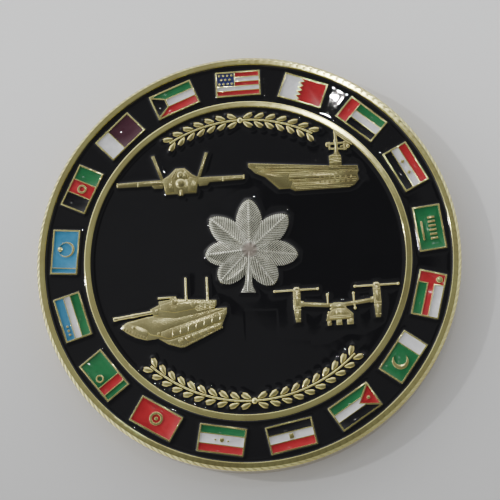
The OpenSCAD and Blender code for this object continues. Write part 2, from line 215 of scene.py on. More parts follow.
gold, gold_skin, gold_at = new_finish("gold_plate", metallic=1.0, roughness=0.2)
# Patina and painted shade: gold lower than the top of the relief is mixed towards brown, darker the lower
# it lies.
hollow_patina_and_shade = 1 - (gold_at.axis(2) / MM).between(3.45, 3.85)
# Painted shade: the lower edge of the design is painted a duller, darker gold.
foot_painted_shade = gold_at.axis(1).between(-0.016, -0.0245)
gold_patch = noise(gold_at, 0.35, 3).between(0.35, 0.7)
gold_bright = gold_patch.mix((0.72, 0.69, 0.285), (0.65, 0.595, 0.25))
gold_painted_shade = gold_patch.mix((0.50, 0.475, 0.20), (0.44, 0.40, 0.17))
gold_tone = foot_painted_shade.mix(gold_bright, gold_painted_shade)
gold_at.feed(gold_skin.inputs["Base Color"], hollow_patina_and_shade.mix(gold_tone, (0.42, 0.32, 0.13)))
hairline_at = gold_at.node("ShaderNodeMapping", Vector=gold_at, Rotation=(0, 0, 0.5), Scale=(1, 14, 1))
hairlines = noise(hairline_at, 1.1, 4, 0.6)
gold_at.feed(gold_skin.inputs["Roughness"], 0.04 + 0.08 * noise(gold_at, 1.6, 3) + 0.05 * hairlines)
gold_grain = noise(gold_at, 5.0, 3) * 0.5 + hairlines * 0.5
gold_at.feed(gold_skin.inputs["Normal"], bump(gold_at, 0.06, 0.02, gold_grain))

# Struck figures keep the grain of the die; those in the upper half of the design are painted darker, as
# shade
cast, cast_skin, cast_at = new_finish("gold_plate_grained", metallic=1.0, roughness=0.2)
cast_patch = noise(cast_at, 0.5, 3).between(0.35, 0.7)
cast_bright = cast_patch.mix((0.71, 0.66, 0.315), (0.62, 0.55, 0.255))
cast_painted_shade = cast_patch.mix((0.47, 0.435, 0.20), (0.40, 0.35, 0.16))
# Painted shade: figures above the middle of the design are painted a darker gold.
cast_tone = cast_at.axis(1).between(-0.004, 0.008).mix(cast_bright, cast_painted_shade)
cast_at.feed(cast_skin.inputs["Base Color"], cast_tone)
cast_at.feed(cast_skin.inputs["Roughness"], 0.12 + 0.14 * noise(cast_at, 2.5, 3))
cast_at.feed(cast_skin.inputs["Normal"], bump(cast_at, 0.4, 0.04, noise(cast_at, 4.5, 4, 0.65)))


def piece(name, bm, finish, nodes, crease=35):
    """Makes a finished piece of what bm holds in millimetres, smooth except at its real edges."""
    bmesh.ops.scale(bm, vec=(MM, MM, MM), verts=bm.verts)
    mesh = bpy.data.meshes.new(name)
    bm.to_mesh(mesh)
    bm.free()
    mesh.shade_smooth()
    mesh.set_sharp_from_angle(angle=math.radians(crease))
    mesh.materials.append(finish)
    made = bpy.data.objects.new(name, mesh)
    bpy.context.scene.collection.objects.link(made)
    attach(made, "root")
    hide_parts(*nodes)


# ---------------------------------------------------------------------------------------------
# The struck body: rim, inner ring, pit floors and core in one turned shape, with oblique nicks
# cut round both shoulders of the rim by the edging tool.

RIM_IN = 24.4
RING = (18.875, 19.625)
FLOOR = 3.0
BACK_FLOOR = 0.7
SHOULDER = 0.35
TOP = coin_top / MM
RADIUS = coin_radius / MM
NICKS = 180
STEPS_PER_NICK = 8
NICK_DEPTH = 0.035
NICK_SLANT = 0.9
SHOULDER_ROWS = 7
RING_TOP = TOP - 0.05
BACK_RING = 0.05
FLAT = RADIUS - SHOULDER - 0.12


def eased_corner(corner, before, after, ease, steps):
    """Points of a small round that replaces one corner of a turned outline."""
    corner, before, after = Vector(corner), Vector(before), Vector(after)
    start = corner + (before - corner).normalized() * ease
    stop = corner + (after - corner).normalized() * ease
    return [start * (1 - t) ** 2 + corner * 2 * t * (1 - t) + stop * t ** 2
            for t in (k / steps for k in range(steps + 1))]


shoulder_points = [(RADIUS - SHOULDER * (1 - k / SHOULDER_ROWS), TOP - SHOULDER * k / SHOULDER_ROWS)
                   for k in range(SHOULDER_ROWS + 1)]
front = [(0, FLOOR), (RING[0], FLOOR)]
front += eased_corner((RING[0], RING_TOP), (RING[0], FLOOR), (RING[1], RING_TOP), 0.13, 4)
front += [(RING[0] + 0.16, RING_TOP), (RING[1] - 0.16, RING_TOP)]
front += eased_corner((RING[1], RING_TOP), (RING[0], RING_TOP), (RING[1], FLOOR), 0.13, 4)
front += [(RING[1], FLOOR), (RIM_IN, FLOOR)]
front += eased_corner((RIM_IN, TOP), (RIM_IN, FLOOR), (RADIUS, TOP), 0.14, 4)
front += [(RIM_IN + 0.17, TOP), (FLAT, TOP)] + shoulder_points + [(RADIUS, TOP - SHOULDER - 0.1)]
rear = [(RADIUS, SHOULDER + 0.1)] + [(r, TOP - z) for r, z in reversed(shoulder_points)]
rear += [(FLAT, 0)]
rear += eased_corner((RIM_IN, 0), (RADIUS, 0), (RIM_IN, BACK_FLOOR), 0.14, 4)
rear += [(RIM_IN, BACK_FLOOR), (RING[1], BACK_FLOOR)]
rear += eased_corner((RING[1], BACK_RING), (RING[1], BACK_FLOOR), (RING[0], BACK_RING), 0.2, 4)
rear += eased_corner((RING[0], BACK_RING), (RING[1], BACK_RING), (RING[0], BACK_FLOOR), 0.2, 4)
rear += [(RING[0], BACK_FLOOR), (0, BACK_FLOOR)]


def turned(points, steps, shift=None):
    """Turns a radius and height outline round Z; shift moves a point given its step of the turn."""
    bm = bmesh.new()
    bmesh.ops.create_grid(bm, x_segments=steps, y_segments=len(points) - 1, size=0.5)
    for v in bm.verts:
        step = round((v.co.x + 0.5) * steps)
        r, z = points[round((v.co.y + 0.5) * (len(points) - 1))]
        angle = 2 * math.pi * step / steps
        if shift:
            r, z, angle = shift(r, z, angle, step)
        v.co = (r * math.cos(angle), r * math.sin(angle), z)
    bmesh.ops.remove_doubles(bm, verts=bm.verts, dist=0.0005)
    bmesh.ops.recalc_face_normals(bm, faces=bm.faces)
    return bm


def nick(r, z, angle, step):
    """Each nick is a V that leans across the shoulder: the columns of the mesh lean with it."""
    if r < RADIUS - SHOULDER - 0.1:
        return r, z, angle
    side = 1 if z > TOP / 2 else -1
    along = min(1.0, min(z, TOP - z) / SHOULDER)
    groove = max(0.0, 1 - abs(step % STEPS_PER_NICK - STEPS_PER_NICK / 2) / 2)
    depth = 0.7 * NICK_DEPTH * groove * math.sin(math.pi * min(0.96, max(0.04, along))) ** 0.5
    if min(z, TOP - z) > SHOULDER + 0.01:
        depth = 0
    lean = NICK_SLANT * 2 * math.pi / NICKS * (along - 0.5) * side
    return r - depth, z - depth * side, angle + lean


body_bm = turned(front + rear, NICKS * STEPS_PER_NICK, nick)
piece("struck_body", body_bm, gold, ["coin_blank"], crease=25)

# ---------------------------------------------------------------------------------------------
# Flag metalwork: frames, the lines between colours and the small devices, struck with the body.
# The die leaves their upper edges soft.

FRAME_TOP = TOP - 0.12
CREST = ((0.0, -0.05), (0.012, 0.03), (0.014, 0.015), (0.014, 0.005))


def copy_of(node_name):
    """The named part's shape in millimetres, with its corners joined up."""
    bm = bmesh.new()
    bm.from_mesh(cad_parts[node_name].data)
    bmesh.ops.scale(bm, vec=(1 / MM, 1 / MM, 1 / MM), verts=bm.verts)
    bmesh.ops.remove_doubles(bm, verts=bm.verts, dist=0.002)
    return bm


def round_over(bm, lid, steps):
    """Moves the lid by the first step, then goes inwards and up or down by each step after it."""
    for v in {v for f in lid for v in f.verts}:
        v.co.z += steps[0][1]
    for inset, rise in steps[1:]:
        bmesh.ops.inset_region(bm, faces=lid, thickness=inset, depth=rise,
                               use_boundary=True, use_even_offset=False)


flag_bm = copy_of("coin_blank")
outside = [v for v in flag_bm.verts
           if not (RING[1] + 0.1 < v.co.xy.length < RIM_IN - 0.1 and v.co.z > FLOOR - 0.05)]
bmesh.ops.delete(flag_bm, geom=outside, context="VERTS")
pit = [f for f in flag_bm.faces if f.normal.z > 0.99 and f.calc_center_median().z < FLOOR + 0.05]
bmesh.ops.delete(flag_bm, geom=pit, context="FACES")
crest = [f for f in flag_bm.faces if f.normal.z > 0.99 and f.calc_center_median().z > FRAME_TOP - 0.05]
round_over(flag_bm, crest, CREST)
piece("flag_metalwork", flag_bm, gold, ["coin_blank"])

# ---------------------------------------------------------------------------------------------
# Raised figures: jet, ship, tank and tiltrotor, struck with the body. Each is built up of the
# blocks, rods and domes that the engraver cut into the die.

ENAMEL = 3.5
ROOT = 3.1


def ordered(items):
    """The items once each, always in the same order."""
    return list(dict.fromkeys(items))


def block(bm, outline, top, ease=0.07, steps=2, tilt=(0, 0), low=ROOT):
    """A raised block with soft upper edges; tilt is its slope along X and Y about its middle."""
    corners = [bm.verts.new((x, y, low)) for x, y in outline]
    raised = bmesh.ops.extrude_face_region(bm, geom=[bm.faces.new(corners)])["geom"]
    lifted = [v for v in raised if isinstance(v, bmesh.types.BMVert)]
    lid = [f for f in raised if isinstance(f, bmesh.types.BMFace)][0]
    mid = sum((v.co for v in lifted), Vector()) / len(lifted)
    for v in lifted:
        v.co.z = top + tilt[0] * (v.co.x - mid.x) + tilt[1] * (v.co.y - mid.y)
    bmesh.ops.recalc_face_normals(bm, faces=ordered(f for v in lifted + corners for f in v.link_faces))
    bmesh.ops.bevel(bm, geom=list(lid.edges), offset=ease, segments=steps, profile=0.5,
                    affect="EDGES", material=-1, clamp_overlap=True)


def bar_outline(start, stop, width):
    run = Vector(stop) - Vector(start)
    side = Vector((-run.y, run.x)).normalized() * width / 2
    return [tuple(Vector(start) - side), tuple(Vector(stop) - side),
            tuple(Vector(stop) + side), tuple(Vector(start) + side)]


def rod(bm, start, stop, radius, height, end_radius=None, segments=14):
    """A round rod lying in the relief from start to stop, its axis at that height."""
    run = Vector((*stop, 0)) - Vector((*start, 0))
    turn = run.to_track_quat("Z", "Y").to_matrix().to_4x4()
    where = Vector((*start, height)) + run / 2
    end_radius = end_radius or radius
    ends = bmesh.ops.create_cone(bm, cap_ends=True, segments=segments, radius1=radius, radius2=end_radius,
                                 depth=run.length, matrix=Matrix.Translation(where) @ turn)
    caps = ordered(f for v in ends["verts"] for f in v.link_faces if len(f.verts) > 4)
    rims = ordered(e for f in caps for e in f.edges)
    bmesh.ops.bevel(bm, geom=rims, offset=0.35 * min(radius, end_radius), segments=2, profile=0.5,
                    affect="EDGES", material=-1, clamp_overlap=True)


def dome(bm, centre, radii, height, segments=20):
    """A flattened ball with its middle at that height."""
    matrix = Matrix.Translation(Vector((*centre, height))) @ Matrix.Diagonal((*radii, 1))
    bmesh.ops.create_uvsphere(bm, u_segments=segments, v_segments=segments // 2, radius=1, matrix=matrix)


def disc(bm, centre, radius, top, segments=24):
    block(bm, [(centre[0] + radius * math.cos(a), centre[1] + radius * math.sin(a))
               for a in (2 * math.pi * k / segments for k in range(segments))], top, 0.05)


def placed(at, points, side=1):
    """An outline given about the middle of a figure; side -1 gives its mirror image."""
    made = [(at.x + x * side, at.y + y) for x, y in points]
    return made if side > 0 else made[::-1]


# What the black enamel has to stay clear of
outlines = []

# Head-on jet: wings level, two canted fins, canopy over a round nose between the intakes
JET = Vector((-7.6, 9.95))
jet_bm = bmesh.new()
jet_wing = [(1.6, 0.38), (7.6, 0.25), (7.75, 0.15), (7.75, -0.2), (7.6, -0.3), (1.6, -0.36)]
jet_fin = [(2.0, 0.2), (2.4, 0.2), (3.5, 3.42), (3.12, 3.5)]
jet_bulge = [(2.0, 0.15), (3.7, 0.1), (3.6, -0.3), (3.25, -0.7), (2.2, -0.75)]
jet_body = [(-2.25, 0.35), (-1.9, -1.6), (-0.45, -1.6), (-0.25, -1.85), (0.25, -1.85), (0.45, -1.6),
            (1.9, -1.6), (2.25, 0.35), (1.5, 0.75), (0.55, 1.65), (-0.55, 1.65), (-1.5, 0.75)]
for side in (1, -1):
    for shape, top, ease in ((jet_wing, 3.82, 0.12), (jet_fin, 3.80, 0.09), (jet_bulge, 3.76, 0.08)):
        outlines.append(placed(JET, shape, side))
        block(jet_bm, placed(JET, shape, side), top, ease)
    block(jet_bm, placed(JET, [(0.95, 0.35), (0.85, -1.35), (1.8, -1.45), (2.1, 0.25)], side), 3.94, 0.1)
    block(jet_bm, placed(JET, [(1.15, 0.1), (1.05, -1.1), (1.62, -1.2),
                               (1.85, 0.05)], side), 3.97, 0.03, low=3.9)
    rod(jet_bm, (JET.x + side * 5.2, JET.y - 0.38), (JET.x + side * 5.2, JET.y + 0.2), 0.12, 3.74)
    rod(jet_bm, (JET.x + side * 7.72, JET.y - 0.28), (JET.x + side * 7.72, JET.y + 0.28), 0.12, 3.78)
outlines.append(placed(JET, jet_body))
block(jet_bm, placed(JET, jet_body), 3.84, 0.1)
block(jet_bm, placed(JET, [(-0.9, 0.2), (0.9, 0.2), (0.75, 0.95), (0.42, 1.5), (-0.42, 1.5),
                           (-0.75, 0.95)]), 3.9, 0.1)
dome(jet_bm, (JET.x, JET.y + 0.75), (0.5, 0.62, 0.27), 3.72)
dome(jet_bm, (JET.x, JET.y - 0.25), (0.82, 0.82, 0.5), 3.52)
rod(jet_bm, (JET.x, JET.y - 1.85), (JET.x, JET.y - 1.1), 0.2, 3.76)
for side in (1, -1):
    rod(jet_bm, (JET.x + side * 0.45, JET.y + 1.45), (JET.x + side * 1.0, JET.y + 0.5), 0.07, 3.88)
piece("jet_relief", jet_bm, cast, ["coin_blank"])

# Flat-deck ship from the side: flared bow, deck edge, hull strakes, sponsons, island and mast
ship_bm = bmesh.new()
ship_hull = [(0.7, 11.2), (1.5, 10.35), (2.7, 9.75), (4.3, 8.1), (5.6, 8.1), (6.2, 7.75), (12.7, 7.75),
             (13.4, 8.0), (14.0, 8.7), (13.85, 9.4), (14.05, 9.8), (13.9, 10.45), (10.5, 10.65),
             (1.3, 11.6), (0.7, 11.65)]
ship_island = [(10.55, 10.4), (12.05, 10.4), (12.05, 11.6), (11.75, 12.3), (11.75, 12.9), (11.3, 12.9),
               (11.2, 12.1), (10.55, 11.8)]
outlines += [ship_hull, ship_island]
block(ship_bm, ship_hull, 3.74, 0.06)
block(ship_bm, [(0.8, 11.25), (1.4, 11.0), (10.5, 10.1), (13.9, 9.95), (13.85, 10.4), (10.5, 10.58),
                (1.3, 11.5), (0.8, 11.55)], 3.86, 0.05)
block(ship_bm, [(0.95, 11.4), (10.5, 10.45), (13.85, 10.25), (13.85, 10.38), (10.5, 10.57),
                (0.95, 11.52)], 3.95, 0.03)
block(ship_bm, [(1.75, 10.4), (2.85, 9.8), (4.4, 8.2), (5.55, 8.2), (5.3, 9.4), (5.6, 9.95),
                (2.2, 10.6)], 3.8, 0.05)
block(ship_bm, [(6.3, 7.82), (12.6, 7.82), (13.3, 8.06), (13.85, 8.65), (13.7, 8.85), (6.0, 8.85),
                (5.75, 8.25)], 3.83, 0.06)
block(ship_bm, [(5.5, 9.3), (13.7, 9.0), (13.75, 9.4), (13.9, 9.8), (5.7, 9.95)], 3.88, 0.05)
ship_lines = [(11.05, 1.6, 10.4), (10.8, 1.9, 10.4), (10.6, 2.3, 9.4), (10.38, 2.3, 8.6),
              (10.14, 2.9, 13.6), (9.75, 5.6, 9.2), (9.55, 5.6, 9.2), (9.12, 5.6, 13.6),
              (8.95, 6.0, 9.3), (8.62, 6.1, 13.6), (8.4, 6.2, 9.4), (8.12, 6.3, 13.2), (7.95, 6.3, 12.9)]
for y, x0, x1 in ship_lines:
    slope = -0.09 if y > 10.3 else -0.02
    rod(ship_bm, (x0, y), (x1, y + slope * (x1 - x0)), 0.035, 3.86, segments=8)
for k in range(10):
    x, y = 8.4 + 0.52 * k, 9.98 - 0.08 * (k % 2)
    block(ship_bm, bar_outline((x, 9.62), (x + 0.03, y), 0.2), 3.97 - 0.03 * (k % 3), 0.04)
for k, x in enumerate((9.3, 9.85, 10.45, 11.1, 11.75, 12.4, 13.0)):
    block(ship_bm, bar_outline((x, 8.5), (x + 0.04, 9.28), 0.22), 3.96 - 0.02 * (k % 2), 0.04)
for k in range(7):
    x, y = 2.6 + 0.9 * k, 10.95 - 0.081 * k
    block(ship_bm, bar_outline((x, y), (x + 0.2, y - 0.02), 0.12), 3.9, 0.03)
block(ship_bm, ship_island, 3.9, 0.08)
block(ship_bm, [(10.75, 10.7), (11.15, 10.7), (11.15, 11.6), (10.75, 11.5)], 3.97, 0.06)
block(ship_bm, [(11.35, 10.7), (11.9, 10.7), (11.9, 11.5), (11.35, 11.9)], 3.99, 0.06)
for y in (10.95, 11.3, 11.75):
    rod(ship_bm, (10.6, y), (12.0, y), 0.06, 3.96, segments=8)
masts = [((11.55, 12.2), (11.5, 15.1), 0.2), ((10.4, 13.35), (12.9, 13.4), 0.15),
         ((10.7, 12.75), (12.8, 12.6), 0.13), ((11.35, 14.9), (13.55, 13.15), 0.2),
         ((12.55, 12.45), (12.55, 13.6), 0.14), ((10.75, 12.6), (10.7, 13.6), 0.13),
         ((12.0, 12.9), (13.3, 13.4), 0.12)]
for start, stop, radius in masts:
    outlines.append(bar_outline(start, stop, radius * 2))
    rod(ship_bm, start, stop, radius, 3.78)
dome(ship_bm, (10.45, 13.3), (0.24, 0.34, 0.22), 3.76)
dome(ship_bm, (12.95, 12.95), (0.26, 0.3, 0.22), 3.76)
dome(ship_bm, (11.5, 13.7), (0.3, 0.3, 0.25), 3.74)
piece("ship_relief", ship_bm, cast, ["coin_blank"])

# Tank in three-quarter view: two track runs, sloped hull, skirt, stepped turret, gun and aerials
tank_bm = bmesh.new()
tank_hull = [(-15.3, -7.45), (-15.3, -7.9), (-14.6, -8.5), (-13.6, -9.05), (-12.4, -9.4), (-11.0, -9.3),
             (-9.8, -10.05), (-8.45, -10.5), (-7.9, -10.5), (-4.6, -9.05), (-3.45, -8.45), (-3.1, -7.5),
             (-2.75, -6.7), (-2.7, -6.0), (-6.0, -6.0), (-12.2, -6.5), (-14.7, -7.05)]
tank_turret = [(-11.9, -5.75), (-11.4, -6.7), (-8.8, -7.0), (-4.6, -6.35), (-3.9, -5.7), (-3.9, -5.05),
               (-7.2, -4.8), (-8.6, -4.6), (-8.7, -4.3), (-9.4, -4.3), (-9.5, -4.7), (-10.8, -4.8),
               (-10.8, -5.25)]
outlines += [tank_hull, tank_turret]
block(tank_bm, tank_hull, 3.66, 0.1)
block(tank_bm, [(-15.2, -7.5), (-15.2, -7.9), (-14.5, -8.42), (-13.6, -8.95), (-12.45, -9.28),
                (-12.1, -8.2), (-13.4, -7.5), (-14.6, -7.15)], 3.74, 0.1, tilt=(0.03, 0.02))
block(tank_bm, [(-14.6, -7.2), (-13.2, -7.75), (-11.9, -8.75), (-10.9, -9.0), (-9.7, -9.2), (-9.4, -8.3),
                (-4.0, -6.6), (-3.2, -6.15), (-6.0, -6.1), (-12.2, -6.6)], 3.8, 0.1, tilt=(0.006, 0.02))
block(tank_bm, [(-10.7, -9.0), (-9.75, -9.38), (-7.3, -8.75), (-3.2, -7.5), (-2.9, -6.9), (-2.85, -6.35),
                (-3.2, -6.3), (-9.5, -8.15), (-10.6, -8.5)], 3.87, 0.07, tilt=(0.0, 0.02))
block(tank_bm, [(-10.8, -9.35), (-9.8, -9.9), (-8.5, -10.35), (-8.0, -10.35), (-4.7, -8.95), (-3.6, -8.4),
                (-3.4, -7.75), (-7.3, -8.95), (-9.7, -9.55)], 3.72, 0.06)
for k in range(6):
    disc(tank_bm, (-8.3 + 0.84 * k, -9.68 + 0.29 * k), 0.33, 3.8, segments=16)
    disc(tank_bm, (-8.3 + 0.84 * k, -9.68 + 0.29 * k), 0.14, 3.85, segments=12)
for k in range(22):
    t = k / 21
    bend, run = min(1, t / 0.2), max(0, (t - 0.2) / 0.8)
    x, y = -9.6 + 1.5 * bend + 4.7 * run, -9.98 - 0.42 * bend + 1.95 * run
    block(tank_bm, bar_outline((x, y - 0.08), (x + 0.08, y + 0.16), 0.12), 3.78, 0.03)
for k in range(9):
    x, y = -15.1 + 0.33 * k, -8.0 - 0.165 * k
    block(tank_bm, bar_outline((x, y - 0.05), (x + 0.12, y + 0.3), 0.13), 3.8, 0.03)
for k in range(7):
    x, y = -9.3 + 0.95 * k, -9.15 + 0.27 * k
    rod(tank_bm, (x, y), (x + 0.1, y + 0.85), 0.045, 3.87, segments=8)
disc(tank_bm, (-13.9, -7.75), 0.2, 3.86)
disc(tank_bm, (-10.9, -8.7), 0.2, 3.9)
block(tank_bm, tank_turret, 3.9, 0.1, tilt=(0, 0.03))
block(tank_bm, [(-10.6, -5.25), (-10.7, -5.95), (-8.9, -6.3), (-4.4, -5.7), (-4.3, -5.25),
                (-9.3, -4.9)], 3.97, 0.06)
block(tank_bm, [(-11.75, -5.7), (-11.5, -6.5), (-10.9, -6.5), (-10.9, -5.6)], 3.96, 0.08)
disc(tank_bm, (-8.9, -5.0), 0.4, 4.0)
disc(tank_bm, (-6.6, -5.4), 0.38, 4.0)
block(tank_bm, [(-9.4, -5.9), (-8.7, -6.0), (-8.6, -5.6), (-9.3, -5.5)], 4.0, 0.04)
for k in range(4):
    rod(tank_bm, (-6.6 + 0.1 * k, -5.75 - 0.17 * k), (-4.1, -5.35 - 0.2 * k), 0.035, 3.95, segments=8)
for x in (-5.9, -5.3, -4.7):
    rod(tank_bm, (x, -6.2), (x + 0.05, -5.4), 0.035, 3.95, segments=8)
tank_rods = [((-16.25, -6.66), (-11.4, -6.05), 0.23), ((-10.9, -4.4), (-9.2, -4.4), 0.12),
             ((-7.5, -5.0), (-7.5, -2.1), 0.14), ((-4.95, -5.3), (-4.95, -2.2), 0.14)]
for start, stop, radius in tank_rods:
    outlines.append(bar_outline(start, stop, radius * 2))
    rod(tank_bm, start, stop, radius, 3.74 if radius > 0.2 else 3.7)
rod(tank_bm, (-16.3, -6.66), (-15.7, -6.59), 0.29, 3.7)
rod(tank_bm, (-14.2, -6.4), (-13.3, -6.29), 0.27, 3.72)
rod(tank_bm, (-7.5, -5.0), (-7.5, -4.3), 0.2, 3.74, 0.15)
rod(tank_bm, (-4.95, -5.3), (-4.95, -4.6), 0.2, 3.74, 0.15)
piece("tank_relief", tank_bm, cast, ["coin_blank"])

# Head-on tiltrotor: rotors up on two nacelles, straight wing, cockpit, twin fins and wheels
TILT = Vector((10.36, -6.5))
tilt_bm = bmesh.new()
for side in (1, -1):
    nacelle = placed(TILT, [(4.25, 2.1), (4.3, 0), (4.4, -1.9), (5.0, -1.9), (5.2, 0), (5.15, 2.1),
                            (4.95, 2.35), (4.45, 2.35)], side)
    wing = placed(TILT, [(0.4, -0.38), (4.6, 0.06), (4.6, 0.55), (0.4, 0.12)], side)
    rotor = ((TILT.x + side * 2.2, TILT.y + 2.0), (TILT.x + side * 7.3, TILT.y + 2.0))
    outlines += [nacelle, wing, bar_outline(*rotor, 0.24)]
    block(tilt_bm, nacelle, 3.9, 0.1)
    block(tilt_bm, wing, 3.8, 0.06)
    block(tilt_bm, placed(TILT, [(0.8, -0.2), (4.4, 0.18), (4.4, 0.42), (0.8, 0.05)], side), 3.86, 0.04)
    block(tilt_bm, placed(TILT, [(3.9, -0.1), (4.4, -0.05), (4.4, 0.7), (3.9, 0.62)], side), 3.84, 0.06)
    rod(tilt_bm, *rotor, 0.12, 3.74)
    for end in rotor:
        dome(tilt_bm, end, (0.2, 0.2, 0.2), 3.74)
    dome(tilt_bm, (TILT.x + side * 4.72, TILT.y + 2.1), (0.42, 0.3, 0.27), 3.72)
    for y, half in ((1.5, 0.42), (0.95, 0.42), (-0.1, 0.44), (-0.45, 0.42), (-1.5, 0.34)):
        middle_x = TILT.x + side * 4.72
        rod(tilt_bm, (middle_x - half, TILT.y + y), (middle_x + half, TILT.y + y), 0.05, 3.9, segments=8)
    block(tilt_bm, placed(TILT, [(4.55, -0.3), (4.6, -1.75), (4.85, -1.75), (4.9, -0.3)], side), 3.96, 0.04)
    block(tilt_bm, placed(TILT, [(4.5, 0.1), (4.5, 1.4), (4.95, 1.4), (4.95, 0.1)], side), 3.96, 0.06)
tilt_fins = [((-1.1, 0.0), (-1.1, 1.2)), ((1.97, 0.2), (1.97, 1.2)), ((2.05, -0.55), (1.97, 0.2))]
for start, stop in tilt_fins:
    start, stop = placed(TILT, [start, stop])
    outlines.append(bar_outline(start, stop, 0.22))
    rod(tilt_bm, start, stop, 0.11, 3.74)
for knob in placed(TILT, [(-1.1, 1.2), (1.97, 1.2), (2.05, -0.6)]):
    dome(tilt_bm, knob, (0.2, 0.2, 0.2), 3.74)
for left, right in ((-1.3, -0.85), (-0.25, 0.4), (1.0, 1.75)):
    wheel = placed(TILT, [(left, -1.7), (left, -2.5), (right, -2.5), (right, -1.7)])
    outlines.append(wheel)
    block(tilt_bm, wheel, 3.78, 0.1, 3)
    left, right = left + 0.12, right - 0.12
    block(tilt_bm, placed(TILT, [(left, -2.0), (left, -2.4), (right, -2.4), (right, -2.0)]), 3.82, 0.05)
tilt_body = placed(TILT, [(-0.75, 0.05), (-0.45, 0.2), (0.5, 0.2), (0.85, 0.0), (1.05, -0.5), (1.8, -1.2),
                          (1.8, -1.85), (-1.45, -1.95), (-1.2, -1.0), (-0.8, -0.7)][::-1])
outlines.append(tilt_body)
block(tilt_bm, tilt_body, 3.84, 0.1)
block(tilt_bm, placed(TILT, [(-1.15, -1.8), (1.55, -1.75), (1.5, -1.3), (0.85, -0.55), (-0.65, -0.65),
                             (-1.0, -1.1)]), 3.9, 0.08)
block(tilt_bm, placed(TILT, [(-0.55, -0.05), (-0.6, -0.5), (0.8, -0.45), (0.6, 0.0)]), 3.94, 0.05)
block(tilt_bm, placed(TILT, [(-0.5, -0.75), (-0.6, -1.25), (1.0, -1.25), (0.75, -0.7)]), 3.95, 0.05)
for x in (-0.15, 0.35):
    rod(tilt_bm, (TILT.x + x, TILT.y - 1.25), (TILT.x + x, TILT.y - 0.7), 0.05, 3.95, segments=8)
for y in (-1.45, -1.65):
    rod(tilt_bm, (TILT.x - 1.0, TILT.y + y), (TILT.x + 1.5, TILT.y + y), 0.05, 3.9, segments=8)
for x, y in ((-0.75, -0.15), (-0.8, -0.55), (-1.1, -0.95), (-1.2, -1.3)):
    dome(tilt_bm, (TILT.x + x, TILT.y + y), (0.13, 0.15, 0.12), 3.84, 12)
piece("tiltrotor_relief", tilt_bm, cast, ["coin_blank"])

# ---------------------------------------------------------------------------------------------
# Laurel: two struck sprigs above and two below the figures, paired leaves on a thin stem.

LAUREL_R = 17.3
LAUREL_PITCH = 4.5
sprig_leaves = []


def lens_half(share, length, half):
    """Half width of a pointed oval at a share of its length."""
    arc = (length * length / 4 + half * half) / (2 * half)
    return math.sqrt(max(0.0, arc * arc - (length * (share - 0.5)) ** 2)) - (arc - half)


def walls_down(bm, top, foot):
    """Carries the open edges of the top down to the foot; gives the new points and lowest edges."""
    rims = ordered(e for v in top for e in v.link_edges if e.is_boundary)
    walls = bmesh.ops.extrude_edge_only(bm, edges=rims)["geom"]
    low = ordered(g for g in walls if isinstance(g, bmesh.types.BMVert))
    for v in low:
        v.co.z = foot
    made = set(low)
    return low, [g for g in walls if isinstance(g, bmesh.types.BMEdge) and made.issuperset(g.verts)]


def stand_on(bm, top, foot):
    """Makes a closed solid of a surface with one open edge; gives the points of its foot."""
    low, bottom = walls_down(bm, top, foot)
    bmesh.ops.edgeloop_fill(bm, edges=bottom)
    return low


def blade(bm, length, half, place, rows, columns, surface, foot):
    """A leaf blade along X: a grid drawn to a pointed oval, its top given by surface(x, across)."""
    grid = bmesh.ops.create_grid(bm, x_segments=rows, y_segments=columns, size=0.5)["verts"]
    for v in grid:
        share = v.co.x + 0.5
        across = 2 * v.co.y
        x = share * length
        v.co = (x, across * lens_half(share, length, half), surface(x, across))
    bmesh.ops.transform(bm, matrix=place, verts=grid + stand_on(bm, grid, foot))


def clean(bm):
    bmesh.ops.remove_doubles(bm, verts=bm.verts, dist=0.0008)
    bmesh.ops.dissolve_degenerate(bm, edges=bm.edges, dist=0.0004)
    bmesh.ops.recalc_face_normals(bm, faces=bm.faces)


def on_circle(radius, clockwise):
    a = math.radians(clockwise)
    return Vector((radius * math.sin(a), radius * math.cos(a)))


def sprig_place(spot, lie, flips, length):
    """Brings a leaf that lies along X to that spot, turned by lie, and then mirrors it."""
    return (Matrix.Diagonal((*flips, 1, 1)) @ Matrix.Translation((*spot, 0))
            @ Matrix.Rotation(lie, 4, "Z") @ Matrix.Translation((-length / 2, 0, 0)))


def swell(x, across, length):
    """How far a small leaf is crowned: 0 at its edge and 1 at its crest."""
    return (1 - abs(across) ** 1.6) * math.sin(math.pi * min(1, x / length + 0.12)) ** 0.5


def midrib(across):
    """Depth of the groove along the middle of a small leaf."""
    return 0.05 * max(0, 1 - abs(across) / 0.25)


laurel_bm = bmesh.new()
LAUREL_LEAF = (1.55, 0.33)


def laurel_surface(x, across):
    return 3.62 + 0.2 * swell(x, across, LAUREL_LEAF[0]) - midrib(across)


for top, pairs in ((1, 7), (-1, 10)):
    for side in (1, -1):
        for k in range(pairs):
            turn = (k + 0.75) * LAUREL_PITCH
            for offset in (0.58, -0.58):
                spot = on_circle(LAUREL_R + offset, turn)
                lie = -math.radians(turn) + math.radians(28 if offset > 0 else -28)
                place = sprig_place(spot, lie, (side, top), LAUREL_LEAF[0])
                blade(laurel_bm, *LAUREL_LEAF, place, 8, 4, laurel_surface, ROOT)
                heel, tip = (place @ Vector((x, 0, 0)) for x in (0.15, LAUREL_LEAF[0] - 0.15))
                sprig_leaves.append(((heel.x, heel.y), (tip.x, tip.y), 0.2))
        for k in range(pairs * 2 - 1):
            start, stop = (on_circle(LAUREL_R, (k / 2 + part) * LAUREL_PITCH) for part in (0.2, 0.75))
            start, stop = (start.x * side, start.y * top), (stop.x * side, stop.y * top)
            sprig_leaves.append((start, stop, 0.13))
            rod(laurel_bm, start, stop, 0.13, 3.66, segments=8)
    dome(laurel_bm, (0, LAUREL_R * top), (0.42, 0.42, 0.36), 3.5)
    sprig_leaves.append(((0, LAUREL_R * top), (0.01, LAUREL_R * top), 0.42))
clean(laurel_bm)
piece("laurel_relief", laurel_bm, gold, ["coin_blank"], crease=50)
